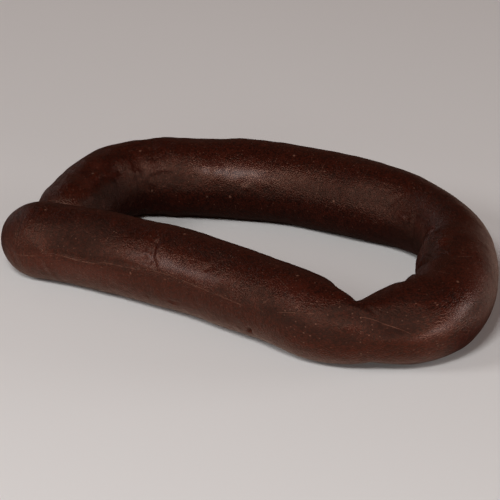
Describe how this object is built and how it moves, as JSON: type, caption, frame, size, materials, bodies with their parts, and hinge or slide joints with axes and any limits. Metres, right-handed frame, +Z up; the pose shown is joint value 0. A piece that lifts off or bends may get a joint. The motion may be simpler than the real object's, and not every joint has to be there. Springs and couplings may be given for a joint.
{
  "type": "blood sausage",
  "caption": "Blood sausage in a natural casing, laid flat as a closed D-shaped loop with a creased corner and rounded ends.",
  "frame": {"origin": "on the table, under the middle of the loop's footprint", "axes": "+Z up, +X along the loop's length towards its creased right end, +Y from the front run to the rear run"},
  "size_m": [0.2548, 0.216, 0.0415],
  "materials": {
    "casing": "moist natural casing over dark filling, near-black reddish brown, satin with a soft sheen"
  },
  "bodies": {
    "root": {"sausage": "casing"}
  },
  "joints": []
}
